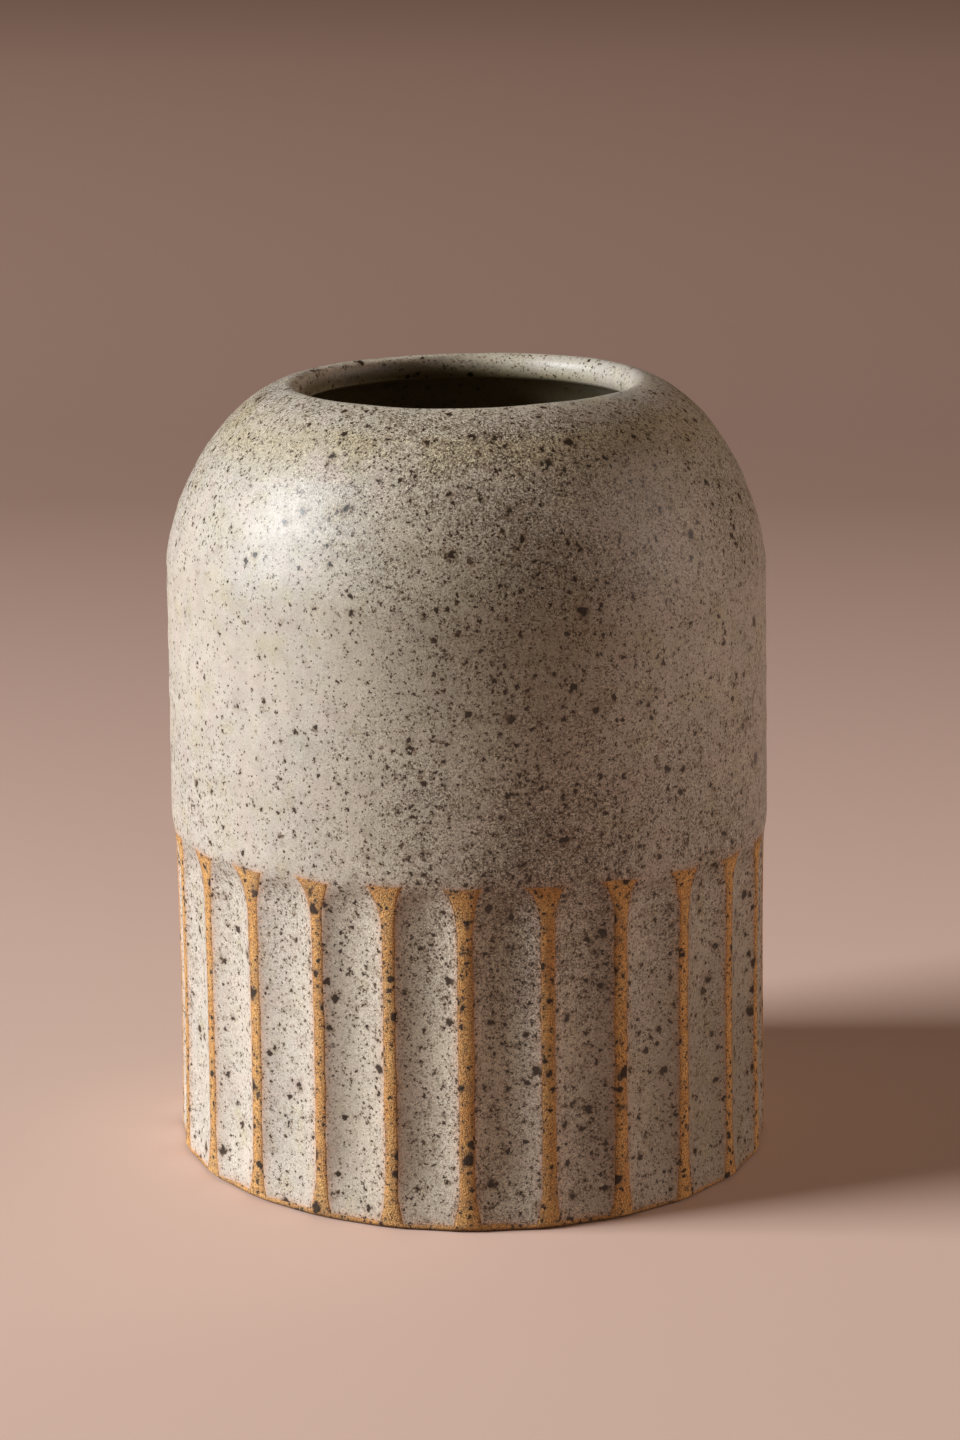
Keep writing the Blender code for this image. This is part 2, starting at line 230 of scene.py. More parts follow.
# %% Sizes of the fluting and the hand's differences
FLUTES, RIDGE_WIDTH, FLUTE_DEPTH = 24, 2.3, 1.25
FIRST_RIDGE = math.radians(-0.5)
ENTRY_BELOW, ENTRY_LENGTH = 6.5, 14.0
RUNOUT_ABOVE, RUNOUT_LENGTH = 2.6, 10.0
LEFT_POWER, RIGHT_POWER = 0.4, 0.6  # how fast either side of a groove closes as the bite fades
SET_OFF = {20: 0.8, 21: 0.5, 22: 1.6, 23: 0.2, 0: -0.6}  # degrees that a ridge stands off its place
NARROWED, NARROWING = [20, 21, 22, 1], 0.85  # ridges that are narrower, and how much
TURN_SPREAD, WIDTH_SPREAD = math.radians(0.25), 0.06  # between ridges
DEPTH_SPREAD, RUNOUT_SPREAD = 0.07, 0.4  # between strokes of the tool
HORN_LEFT, HORN_RIGHT = (0.0, 0.25), (0.15, 0.7)  # how far glaze draws in at a ridge's corners

hand = np.random.default_rng(24)
ridge_turn = hand.normal(0, TURN_SPREAD, FLUTES)
ridge_turn[list(SET_OFF)] += np.radians(list(SET_OFF.values()))
ridge_width = RIDGE_WIDTH * (1 + hand.normal(0, WIDTH_SPREAD, FLUTES))
ridge_width[NARROWED] *= NARROWING
stroke_depth = 1 + hand.normal(0, DEPTH_SPREAD, FLUTES)
stroke_runout = hand.normal(0, RUNOUT_SPREAD, FLUTES)
horn_left = hand.uniform(*HORN_LEFT, FLUTES)
horn_right = hand.uniform(*HORN_RIGHT, FLUTES)

ridge = FIRST_RIDGE + np.arange(FLUTES) * math.tau / FLUTES + ridge_turn
next_ridge = np.append(ridge[1:], ridge[0] + math.tau)
centre = (ridge + next_ridge) / 2
half_gap = (next_ridge - ridge) / 2 * WAIST_RADIUS
left_full = half_gap - ridge_width / 2
right_full = half_gap - np.roll(ridge_width, -1) / 2
groove = np.round(left_full + right_full, 1)
print("grooves are", groove.min(), "to", groove.max(), "mm wide")


# %% The tool's bite, and the glaze's edge beside a ridge
CORNER_LENGTH = 0.8  # over which a corner at a ridge's top fades downwards
FOOT_PULL, PULL_LENGTH = 0.55, 2.4  # how much narrower the glaze is at the table, fading upwards
EDGE_SHAKE, EDGE_LENGTHS = 0.14, (5.0, 11.0, 29.0)  # how far its edge strays, and in what waves


def bite(z, runout_shift=0.0):
    """Share of the full depth: 1 - (1 - a)^2, where a climbs from 0 to 1 as the tool goes in."""
    entered = (z + ENTRY_BELOW) / ENTRY_LENGTH
    remaining = (GLAZE_LINE + RUNOUT_ABOVE + runout_shift - z) / RUNOUT_LENGTH
    along = np.clip(np.minimum(entered, remaining), 0, 1)
    return 1 - (1 - along) ** 2


def shaky(z, size):
    """For every flute, a line that strays by size: the mean of sines of three lengths."""
    phases = hand.uniform(0, math.tau, (3, 1, FLUTES))
    lengths = np.array(EDGE_LENGTHS).reshape(3, 1, 1)
    return size * np.sin(math.tau * z / lengths + phases).mean(axis=0)


def glaze_edge(z, full, power, horn):
    """Distance from a groove's middle to the edge of its glaze, drawn in at the ridge's corners."""
    corner = horn * np.exp((z - GLAZE_LINE) / CORNER_LENGTH)
    foot = FOOT_PULL * np.exp(-z / PULL_LENGTH)
    return full * bite(z) ** power - corner - foot + shaky(z, EDGE_SHAKE)


row = np.arange(len(profile))[:, None]
z = profile[:, 1][:, None]
skirt_height = np.where(row < len(under_rows), 0.0, np.where(row > LINE_ROW, GLAZE_LINE, z))
left_reach = glaze_edge(skirt_height, left_full, LEFT_POWER, horn_left)
right_reach = glaze_edge(skirt_height, right_full, RIGHT_POWER, horn_right)
print("edges of", left_reach.shape[1], "flutes on", left_reach.shape[0], "rows")

# %% [markdown]
# ## The columns of the surface
# The columns follow the flutes: in every flute they are spaced from edge to edge, closest
# at the edges where the glaze thins out, and a few more cross each ridge. So the border
# between glaze and bare clay always lies on a line of the grid.

# %% Columns across each flute and ridge
FLUTE_SHARES = np.array([0, 0.03, 0.08, 0.17, 0.32, 0.53, 0.77])
FLUTE_SHARES = np.concatenate([FLUTE_SHARES - 1, [0.0], 1 - FLUTE_SHARES[::-1]])
RIDGE_SHARES = np.array([0.15, 0.5, 0.85])

following = np.append(centre[1:], centre[0] + math.tau)
right_angle = centre + right_reach / WAIST_RADIUS
next_left = following - np.roll(left_reach, -1, axis=1) / WAIST_RADIUS

share = FLUTE_SHARES[None, None, :]
reach = np.where(share < 0, left_reach[:, :, None], right_reach[:, :, None])
flute_angles = centre[None, :, None] + share * reach / WAIST_RADIUS
ridge_angles = right_angle[:, :, None] + RIDGE_SHARES * (next_left - right_angle)[:, :, None]
angle = np.concatenate([flute_angles, ridge_angles], axis=2).reshape(len(profile), -1)

PER_FLUTE = len(FLUTE_SHARES) + len(RIDGE_SHARES)
on_ridge = np.tile(np.arange(PER_FLUTE) >= len(FLUTE_SHARES), FLUTES)
flute_of = np.repeat(np.arange(FLUTES), PER_FLUTE)
print("columns:", angle.shape[1], "of which on ridges:", int(on_ridge.sum()))

# %% [markdown]
# ## The cut and the other marks of the hand
# A flute's floor is a shallow parabola across. Its depth fades with the tool's bite, and a
# soft minimum lets the end of the groove melt into the wall. The ridges are worn a little
# round. The thrown wall is never a perfect circle either, and carries faint rings.

# %% Depth of the cut
SOFT_BELOW, SOFT_ABOVE = 0.05, 0.12  # how softly cut and wall meet, below and above the line
CROWN, CROWN_FADE = 0.16, 4.0  # wear of a ridge's edges, and its fade below the line
FOOT_SHARE, FOOT_LENGTH = 0.45, 11.0  # share of a flute's depth left at the table, and its recovery
MELT_ABOVE, MELT_LENGTH = 1.6, 4.5  # where a flute's depth melts away, above the line and in all
OUTSIDE = -2.0  # the parabola is held here beyond a groove's edges

after = (flute_of + 1) % FLUTES
from_own = (angle - centre[flute_of]) * WAIST_RADIUS
from_after = (angle - following[flute_of]) * WAIST_RADIUS
is_own = np.abs(from_own) < np.abs(from_after)
nearest = np.where(is_own, flute_of, after)
offset = np.where(is_own, from_own, from_after)
bitten = bite(z, stroke_runout[nearest])
full_reach = np.where(offset < 0, left_full[nearest], right_full[nearest])
power = np.where(offset < 0, LEFT_POWER, RIGHT_POWER)
across = offset / (full_reach * np.maximum(bitten, 0.01) ** power)
cut = FLUTE_DEPTH * stroke_depth[nearest] * bitten * (1 - across ** 2)
cut *= FOOT_SHARE + (1 - FOOT_SHARE) * smoothstep(z / FOOT_LENGTH)
cut *= smoothstep((GLAZE_LINE + MELT_ABOVE - z) / MELT_LENGTH)
cut = np.maximum(cut, OUTSIDE)
soft = SOFT_BELOW + (SOFT_ABOVE - SOFT_BELOW) * smoothstep((z - GLAZE_LINE + 1) / 2)
cut = 0.5 * (cut + np.sqrt(cut ** 2 + soft ** 2))

ridge_share = np.tile(np.concatenate([np.zeros(len(FLUTE_SHARES)), RIDGE_SHARES]), FLUTES)
rounded = np.where(on_ridge, (2 * ridge_share - 1) ** 2, 1.0)
cut += CROWN * rounded * bitten * smoothstep((GLAZE_LINE - z) / CROWN_FADE)

z_foot = np.clip(z / FOOT_ROUND, 0, 1)
drawn_in = FOOT_ROUND * (1 - np.sqrt(1 - (1 - z_foot) ** 2))
is_wall = (row >= len(under_rows)) & (row < len(under_rows) + len(wall_rows))
cut = np.where(is_wall, (cut ** 3 + drawn_in ** 3) ** (1 / 3), 0)
print("deepest cut:", cut.max().round(2), "mm")


# %% Waves and throwing rings
LINE_REACH, FOOT_REACH = 9.0, 2.0  # heights over which the glaze line and the foot's edge stray
RIGHT_DROP, LEFT_DROP = 0.42, 0.2  # how much lower the glaze hangs on either side of the foot
RINGS = [(0.045, 7.3, 1), (0.03, 4.1, 2)]  # height, pitch and number of spirals of throwing rings


def wander(orders, size, seed, drift=0.0):
    """Waves that close round the pot: the sum of sin(n * angle + phase + drift * height), by size."""
    dice = np.random.default_rng(seed)
    total = np.zeros(angle.shape)
    for order in orders:
        slope = dice.normal(0, drift)
        total += np.sin(order * angle + dice.uniform(0, math.tau) + slope * z)
    return size * total / math.sqrt(len(orders))


skin = np.interp(row, [len(under_rows) - 1, len(under_rows), SEAM_ROW, SEAM_ROW + 12], [0, 1, 1, 0])
plain = smoothstep((z - GLAZE_LINE - 3) / 10) * smoothstep((HEIGHT - z) / 8)
rings = sum(size * np.sin(math.tau * z / pitch - spirals * angle) for size, pitch, spirals in RINGS)
stray = wander((2, 3, 4, 5), size=0.11, seed=5, drift=0.02)
stray += wander((7, 9, 11, 13), size=0.035, seed=6, drift=0.05)
bump = skin * smoothstep(z / 4) * (stray + rings * plain)
line_shift = wander((11, 13, 17, 19, 23, 29, 31), size=0.2, seed=9)
line_shift *= np.exp(-((z - GLAZE_LINE) / LINE_REACH) ** 2)
to_right = smoothstep(1.5 * np.sin(angle) - 0.1)
to_left = smoothstep(-1.5 * np.sin(angle) - 0.4)
foot_shift = wander((5, 9, 14, 21, 33), size=0.14, seed=12)
foot_shift -= RIGHT_DROP * to_right + LEFT_DROP * to_left
foot_shift = foot_shift * np.exp(-((z - FOOT_BAND) / FOOT_REACH) ** 2) * smoothstep(z / FOOT_BAND)
print("the glaze line strays by up to", np.abs(line_shift).max().round(2), "mm")


# %% Finished points and their clay below
def place(radius, height):
    """x = r sin a, y = -r cos a, and the swell, tilt and lean that the whole pot has."""
    swell = LINE_WAVE * np.sin(np.pi * height / SHOULDER_HEIGHT) ** 2 * np.cos(2 * angle)
    tilt = RIM_TILT * smoothstep((height - SHOULDER_HEIGHT) / (HEIGHT - SHOULDER_HEIGHT))
    x = radius * np.sin(angle)
    tilted = tilt * radius * np.cos(angle - HIGH_SIDE)
    lifted = height + np.where(height < SHOULDER_HEIGHT, swell, tilted)
    return np.stack([x - LEAN * height, -radius * np.cos(angle), lifted], axis=-1)


out_r, out_z = profile[:, 2][:, None], profile[:, 3][:, None]
base_height = z + is_wall * (line_shift + foot_shift)


def surface(depth):
    """The pot's surface at a depth below its finished skin, measured against the outward direction."""
    push = bump - cut - depth
    return place(profile[:, 0][:, None] + push * out_r, base_height + push * out_z)


finished = surface(0.0)
print("finished surface:", finished.shape[0], "rows by", finished.shape[1], "columns")

# %% [markdown]
# ## How thick the glaze is
# Wet glaze draws back from an edge, so the coat is thin beside the bare clay and comes to
# its full thickness about a millimetre away. The distance to the nearest bare clay gives
# both the thickness and, later, the colour: thin glaze lets the amber clay shine through.

# %% Distance to the border, and thickness
THIN_EDGE, EDGE_REACH = 0.02, 0.4  # thickness beside bare clay, and distance over which it grows
CREST_THINNING, CREST_TURN, CREST_SPREAD = 0.3, 0.7, 0.55  # thinner over the lip, where it turns most
SEAM_THINNING, SEAM_REACH = 0.6, 0.5  # thinner where the outer coat meets the liner
FAR_BARE, FAR_GLAZED = -5.0, 50.0  # distances written where no border is near

flute_share = np.tile(np.concatenate([FLUTE_SHARES, np.zeros(len(RIDGE_SHARES))]), FLUTES)
reach = np.where(flute_share < 0, left_reach[:, flute_of], right_reach[:, flute_of])
beside = (1 - np.abs(flute_share)) * reach
above = z - GLAZE_LINE
in_flute = np.where(above < 0, beside, np.hypot(beside, above))
land_width = (next_left - right_angle)[:, flute_of] * WAIST_RADIUS
into_ridge = np.minimum(ridge_share, 1 - ridge_share) * land_width
on_land = np.where(above < 0, -np.minimum(into_ridge, -above), above)
border = np.minimum(np.where(on_ridge, on_land, in_flute), z - FOOT_BAND)
border = np.where(is_wall, border, np.where(row < FOOT_ROW, FAR_BARE, FAR_GLAZED))

seam_distance = np.abs(row - SEAM_ROW) * LIP / 2 * SEAM_TURN / len(lip_outer)
first_lip_row = SEAM_ROW + 1 - len(lip_outer)
round_the_lip = SEAM_TURN * (row - first_lip_row) / len(lip_outer)
on_crest = np.exp(-((round_the_lip - CREST_TURN) / CREST_SPREAD) ** 2) * np.ones_like(angle)
thickness = THIN_EDGE + GLAZE * (1 - np.exp(-np.maximum(border, 0) / EDGE_REACH))
thickness *= 1 - SEAM_THINNING * np.exp(-seam_distance / SEAM_REACH)
thickness *= 1 - CREST_THINNING * on_crest
is_glazed = (border >= 0) & (row >= FOOT_ROW)
clay = surface(np.where(is_glazed, thickness, 0.0))
print("glaze is", thickness.max().round(2), "mm thick where it is full")

# %% [markdown]
# ## From arrays to closed pieces
# A coat of glaze is a shell: its outer sheet is the finished surface, its inner sheet lies
# on the clay, and narrow strips close it wherever the glaze ends. Solidify could give a
# plate some thickness, but not one that thins out towards its edges. So the faces are
# worked out here, from a map that says which squares of the grid are glazed.


# %% Faces of a sheet and of a shell
def corners(count_rows, count_columns):
    """Indices of the four corners of every square of a grid whose last column meets its first."""
    index = np.arange(count_rows * count_columns).reshape(count_rows, count_columns)
    after = np.roll(index, -1, axis=1)
    return index[:-1], after[:-1], after[1:], index[1:]


def shell_quads(present, behind):
    """Squares of both sheets and the strips between; the inner sheet's indices are behind higher."""
    a, b, c, d = corners(present.shape[0] + 1, present.shape[1])
    none = np.zeros((1, present.shape[1]), bool)
    no_lower = present & ~np.concatenate([none, present[:-1]])
    no_upper = present & ~np.concatenate([present[1:], none])
    no_left = present & ~np.roll(present, 1, axis=1)
    no_right = present & ~np.roll(present, -1, axis=1)
    parts = [
        (present, (a, b, c, d)),
        (present, (a + behind, d + behind, c + behind, b + behind)),
        (no_lower, (a + behind, b + behind, b, a)),
        (no_upper, (d, c, c + behind, d + behind)),
        (no_left, (a + behind, a, d, d + behind)),
        (no_right, (c, b, b + behind, c + behind)),
    ]
    return np.concatenate([np.stack(quad, axis=-1)[where] for where, quad in parts])


def fan(ring, pole, upwards):
    """Triangles from every edge of a ring of indices to the index of a pole."""
    here, after = (ring, np.roll(ring, -1)) if upwards else (np.roll(ring, -1), ring)
    return np.stack([here, after, np.full_like(ring, pole)], axis=-1)


print("a 3 x 4 shell with no holes has", len(shell_quads(np.ones((3, 4), bool), 16)), "squares")


# %% Put points and faces into a mesh
SHARP = math.radians(50)  # an edge that turns more than this isn't smoothed


def make_piece(name, points, quads, triangles, distance, body="root"):
    """A smooth mesh in metres, with the distance to the border as an attribute, riding on a body."""
    used, loops = np.unique(np.concatenate([quads.ravel(), triangles.ravel()]), return_inverse=True)
    starts = np.concatenate([np.arange(len(quads)) * 4, quads.size + np.arange(len(triangles)) * 3])
    mesh = bpy.data.meshes.new(name)
    mesh.vertices.add(len(used))
    mesh.vertices.foreach_set("co", (points[used] * MM).ravel())
    mesh.loops.add(len(loops))
    mesh.loops.foreach_set("vertex_index", loops.ravel())
    mesh.polygons.add(len(starts))
    mesh.polygons.foreach_set("loop_start", starts)
    mesh.attributes.new("border", "FLOAT", "POINT").data.foreach_set("value", distance[used])
    mesh.update(calc_edges=True)
    mesh.validate()
    mesh.shade_smooth()
    mesh.set_sharp_from_angle(angle=SHARP)
    piece = bpy.data.objects.new(name, mesh)
    scene.collection.objects.link(piece)
    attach(piece, body)
    print(name, "has", 2 * len(quads) + len(triangles), "triangles")
    return piece


# %% [markdown]
# ## The clay, the outer coat and the liner
# The clay is one closed surface with a pole underneath and another on the floor inside.
# The outer coat runs from the foot band and the flutes over the lip. The liner was poured
# in and out again, and goes from the seam under the lip to the floor.

# %% The clay body
count_rows, count_columns = angle.shape
grid_size = count_rows * count_columns
first_ring = np.arange(count_columns)
last_ring = first_ring + grid_size - count_columns

clay_points = np.concatenate([clay.reshape(-1, 3), [clay[0].mean(axis=0), clay[-1].mean(axis=0)]])
clay_quads = np.stack(corners(count_rows, count_columns), axis=-1).reshape(-1, 4)
clay_ends = np.concatenate([fan(first_ring, grid_size, False), fan(last_ring, grid_size + 1, True)])
clay_border = np.append(border.ravel(), [FAR_BARE, FAR_GLAZED])
stoneware = make_piece("stoneware_body", clay_points, clay_quads, clay_ends, clay_border)
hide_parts("clay_body")

# %% The outer coat of glaze
column = np.arange(count_columns) % PER_FLUTE
covered = np.tile(column < len(FLUTE_SHARES) - 1, (count_rows - 1, 1))
covered[LINE_ROW:] = True
covered[:FOOT_ROW] = False
covered[SEAM_ROW:] = False

both = np.concatenate([finished.reshape(-1, 3), clay.reshape(-1, 3)])
both_border = np.tile(border.ravel(), 2)
no_triangles = np.zeros((0, 3), int)
coat = make_piece("speckled_coat", both, shell_quads(covered, grid_size), no_triangles, both_border)
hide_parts("outer_glaze")

# %% The liner
lined = np.zeros((count_rows - 1, count_columns), bool)
lined[SEAM_ROW:] = True
liner_quads = shell_quads(lined, grid_size)
both_ends = np.concatenate([both, [finished[-1].mean(axis=0), clay[-1].mean(axis=0)]])
liner_ends = np.concatenate([
    fan(last_ring, 2 * grid_size, True), fan(last_ring + grid_size, 2 * grid_size + 1, False)])
strip = (liner_quads % grid_size >= grid_size - count_columns).all(axis=1)
liner = make_piece("inner_coat", both_ends, liner_quads[~strip], liner_ends,
                   np.append(both_border, [FAR_GLAZED, FAR_GLAZED]))
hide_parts("liner_glaze")

# %% [markdown]
# ## Nodes without fuss
# A material is a small tree of nodes. A few helpers keep the trees readable: one adds any
# node with its inputs, some do arithmetic, and one mixes two colours by a mask.


# %% Helpers for shader nodes
def fill(tree, socket, value):
    """Link an output to an input, or write a plain value into it."""
    if isinstance(value, bpy.types.NodeSocket):
        tree.links.new(value, socket)
    else:
        socket.default_value = value


def put(tree, kind, settings=None, **inputs):
    """Add a node by its short name; settings are its own choices, inputs are its sockets."""
    made = tree.nodes.new("ShaderNode" + kind)
    for name, value in (settings or {}).items():
        setattr(made, name, value)
    for name, value in inputs.items():
        fill(tree, made.inputs[name.replace("_", " ")], value)
    return made


def reckon(tree, operation, first, second=0.0, third=0.0):
    """One sum on numbers that change over the surface."""
    made = put(tree, "Math", {"operation": operation})
    for socket, value in zip(made.inputs, (first, second, third)):
        fill(tree, socket, value)
    return made.outputs[0]


def times(tree, first, *others):
    """The product of several numbers."""
    for other in others:
        first = reckon(tree, "MULTIPLY", first, other)
    return first


def largest(tree, first, *others):
    """The largest of several numbers."""
    for other in others:
        first = reckon(tree, "MAXIMUM", first, other)
    return first


def fade(tree, distance, reach):
    """e to the power of distance / reach: 1 at the border, less where the two have opposite signs."""
    return reckon(tree, "EXPONENT", reckon(tree, "DIVIDE", distance, reach))


print("node helpers ready")


# %% Helpers for ramps and colours
def ramp(tree, value, low, high, to_low=0.0, to_high=1.0):
    """Map a number from low..high to to_low..to_high, held at both ends."""
    made = put(tree, "MapRange", Value=value, From_Min=low, From_Max=high,
               To_Min=to_low, To_Max=to_high)
    return made.outputs["Result"]


def reckon_vectors(tree, operation, first, second):
    """One sum on two vectors, each an output or three numbers; returns every result."""
    made = put(tree, "VectorMath", {"operation": operation})
    for socket, value in zip(made.inputs, (first, second)):
        fill(tree, socket, value)
    return made.outputs


def blend(tree, mask, below, above, mode="MIX"):
    """The colour below, with the colour above laid over it by a mask."""
    made = put(tree, "Mix", {"data_type": "RGBA", "blend_type": mode})
    for index, value in ((0, mask), (6, below), (7, above)):
        fill(tree, made.inputs[index], value)
    return made.outputs[2]


def dim(tree, color, shade):
    """A colour times a brightness."""
    gray = put(tree, "CombineColor", Red=shade, Green=shade, Blue=shade).outputs[0]
    return blend(tree, 1.0, color, gray, "MULTIPLY")


def paint(*rgb):
    """A colour with full opacity."""
    return (*rgb, 1.0)


print("colour helpers ready")

# %% [markdown]
# ## Iron specks
# The clay holds grains of iron ore. In the kiln they melt and bleed up through the glaze as
# dark brown specks. A Voronoi texture scatters one point in each cell of space, and the
# distance to that point gives a round speck. Its position is first shaken by noise, so the
# specks come out ragged. Solid noise in space, unlike a flat picture, has no seam.


# %% A node group for specks
def new_group(name, numbers, results):
    """A shader group from a place and numbers to numbers; returns its tree, inputs and outputs."""
    tree = bpy.data.node_groups.new(name, "ShaderNodeTree")
    tree.interface.new_socket(name="Place", in_out="INPUT", socket_type="NodeSocketVector")
    for direction, titles in ("INPUT", numbers), ("OUTPUT", results):
        for title in titles:
            tree.interface.new_socket(name=title, in_out=direction, socket_type="NodeSocketFloat")
    given, result = tree.nodes.new("NodeGroupInput"), tree.nodes.new("NodeGroupOutput")
    return tree, given.outputs, result.inputs


SHAKE_SCALE, SHAKE_DETAIL = 0.9, 2.5  # the shaking noise, against a speck's radius
LEAST_SIZE = 0.4  # share of the radius that the smallest speck has
SPECK_EDGE, HALO_EDGE = (1.15, 0.8), (2.2, 0.9)  # where speck and halo fade, in radii

specks, given, result = new_group(
    "iron_specks", ["Spacing", "Radius", "Chance", "Ragged"], ["Mask", "Halo"])
place_in, spacing_in, radius_in, chance_in, ragged_in = (
    given[name] for name in ("Place", "Spacing", "Radius", "Chance", "Ragged"))

shake = put(specks, "TexNoise", Vector=place_in, Detail=SHAKE_DETAIL,
            Scale=reckon(specks, "DIVIDE", SHAKE_SCALE, radius_in))
centred = reckon_vectors(specks, "SUBTRACT", shake.outputs["Color"], (0.5, 0.5, 0.5))[0]
sized = reckon_vectors(specks, "MULTIPLY", centred, times(specks, radius_in, ragged_in))[0]
moved = reckon_vectors(specks, "ADD", place_in, sized)[0]
cells = put(specks, "TexVoronoi", Vector=moved, Scale=reckon(specks, "DIVIDE", 1.0, spacing_in)).outputs
dice = put(specks, "SeparateColor", Color=cells["Color"]).outputs

size = times(specks, radius_in, ramp(specks, dice[0], 0, 1, LEAST_SIZE, 1))
away = reckon(specks, "DIVIDE", times(specks, cells["Distance"], spacing_in), size)
there = reckon(specks, "LESS_THAN", dice[1], chance_in)
fill(specks, result["Mask"], times(specks, ramp(specks, away, *SPECK_EDGE), there))
fill(specks, result["Halo"], times(specks, ramp(specks, away, *HALO_EDGE), there))
print("iron_specks has", len(specks.nodes), "nodes")

# %% [markdown]
# ## Mottling
# The glaze is a mix of feldspar, clay and ash that never blends fully. It shows cloudy
# patches a few millimetres wide, and a salt-and-pepper grain as fine as sand. The group
# gives a slow mask for hue, a middle one for tone, and one each for pale and dark grains.
# The grains are the highest and the lowest parts of one fine noise.

# %% A node group for mottling
TONE_SIZE = 0.3  # size of the blobs of tone, as a share of a patch
HUE_CUT, TONE_CUT = (0.32, 0.68), (0.3, 0.7)
PEPPER_CUT, SALT_CUT = (0.48, 0.68), (0.5, 0.32)


def cloud(tree, place, size, detail=2.0, roughness=0.5):
    """Noise whose blobs are about size millimetres across."""
    made = put(tree, "TexNoise", Vector=place, Scale=reckon(tree, "DIVIDE", 1.0, size),
               Detail=detail, Roughness=roughness)
    return made.outputs[0]


mottle, given, result = new_group(
    "kiln_mottle", ["Patch", "Grain"], ["Hue", "Tone", "Pepper", "Salt"])
hue = cloud(mottle, given["Place"], given["Patch"], 3.0, 0.55)
tone = cloud(mottle, given["Place"], times(mottle, given["Patch"], TONE_SIZE))
grain = cloud(mottle, given["Place"], given["Grain"], 1.0, 0.6)
fill(mottle, result["Hue"], ramp(mottle, hue, *HUE_CUT))
fill(mottle, result["Tone"], ramp(mottle, tone, *TONE_CUT))
fill(mottle, result["Pepper"], ramp(mottle, grain, *PEPPER_CUT))
fill(mottle, result["Salt"], ramp(mottle, grain, *SALT_CUT))
print("kiln_mottle has", len(mottle.nodes), "nodes")


# %% Shared steps of the materials
def new_material(name):
    """A material with its tree, its Principled shader and its place in millimetres."""
    material = bpy.data.materials.new(name)
    material.use_nodes = True
    tree = material.node_tree
    in_metres = put(tree, "TexCoord").outputs["Object"]
    place = reckon_vectors(tree, "MULTIPLY", in_metres, (1 / MM, 1 / MM, 1 / MM))[0]
    return material, tree, tree.nodes["Principled BSDF"], place


def find_spot(tree, place):
    """x, y, height and distance from the pot's middle line, in millimetres, by name."""
    along = put(tree, "SeparateXYZ", Vector=place).outputs
    squares = reckon(tree, "MULTIPLY_ADD", along["X"], along["X"], times(tree, along["Y"], along["Y"]))
    return {"x": along["X"], "y": along["Y"], "height": along["Z"],
            "radius": reckon(tree, "SQRT", squares)}


def read_border(tree):
    """The distance to the edge of the glaze, in millimetres; negative on bare clay."""
    return put(tree, "Attribute", {"attribute_name": "border"}).outputs["Fac"]


def use_group(tree, group, **inputs):
    """Place a node group with its own values; returns its outputs."""
    return put(tree, "Group", {"node_tree": group}, **inputs).outputs


def relief(tree, shader, height):
    """Bump from a height in millimetres."""
    bumps = put(tree, "Bump", Height=height, Distance=MM)
    fill(tree, shader.inputs["Normal"], bumps.outputs["Normal"])


print("shared steps ready")

# %% Layers of specks
IRON, RUST = paint(0.03, 0.018, 0.01), paint(0.3, 0.2, 0.12)
SPECK_SHARE, HALO_SHARE = 0.96, 0.35  # how much of the colour below a speck and its halo hide
SMALL_SPECK, MIDDLE_SPECK = 0.25, 0.6  # upper limits of radius for small and middle specks


def add_specks(tree, place, color, crowds, layers):
    """Layers of (spacing, radius, chance, ragged), each thinned by the crowd of its size."""
    depth = 0.0
    for spacing, radius, chance, ragged in layers:
        crowd = crowds[(radius > SMALL_SPECK) + (radius > MIDDLE_SPECK)]
        made = use_group(tree, specks, Place=place, Spacing=spacing, Radius=radius,
                         Chance=times(tree, crowd, chance), Ragged=ragged)
        mask = times(tree, made["Mask"], SPECK_SHARE)
        haloed = blend(tree, times(tree, made["Halo"], HALO_SHARE), color, RUST)
        color = blend(tree, mask, haloed, IRON)
        depth = largest(tree, depth, mask)
    return color, depth


print("a speck hides", SPECK_SHARE, "of the colour below it")

# %% [markdown]
# ## The speckled glaze
# It is a satin glaze, half way between shiny and dry. Warm cream patches drift into cooler
# grey ones, with some straw yellow and some pink. Beside bare clay the coat is thin and
# lets the clay shine through, so the colour turns to peach there.
# Fewer specks are painted on the side towards the window lamp: painted light that makes
# that side brighter and smoother. Smoke dulled two patches, and a third dull patch, low on
# the +x side near the table, is painted shade. A straw tint is painted where the lit side
# turns to shade, and the lower wall and the flutes are painted paler, as painted light.
# Inside, painted shade makes the same glaze darker with depth and browner on the side away
# from the lamp. Small, middle and large specks crowd in different places. Each of these has
# a small function of its own, and the material joins them.

# %% Colours and specks of the glaze
WARM, COOL = paint(0.71, 0.63, 0.515), paint(0.665, 0.62, 0.535)
# the straw colour also paints a warm tint where the lit side turns to shade
STRAW, ROSE = paint(0.65, 0.56, 0.355), paint(0.685, 0.56, 0.485)
THIN, PEPPER = paint(0.71, 0.42, 0.24), paint(0.15, 0.11, 0.08)
# The first colour on this line dulls two smoky patches and paints shade in a third.
SMOKE_AND_SHADE, PAINTED_SIDE_SHADE = paint(0.7, 0.68, 0.64), paint(0.36, 0.28, 0.2)
# The second colour on the line above and both colours on this line paint shade inside the mouth.
DEPTH_SHADE, LINER_DEPTH_SHADE = paint(0.28, 0.25, 0.18), paint(0.48, 0.44, 0.34)
GLAZE_SPECKS = [
    (0.43, 0.16, 0.9, 4.0), (0.64, 0.23, 0.95, 4.2), (1.0, 0.33, 0.7, 4.0),
    (1.7, 0.5, 0.5, 3.0), (2.9, 0.7, 0.5, 2.2), (5.4, 1.05, 0.5, 1.5),
]
LINER_SPECKS = GLAZE_SPECKS[2:5]
print(len(GLAZE_SPECKS), "sizes of speck")


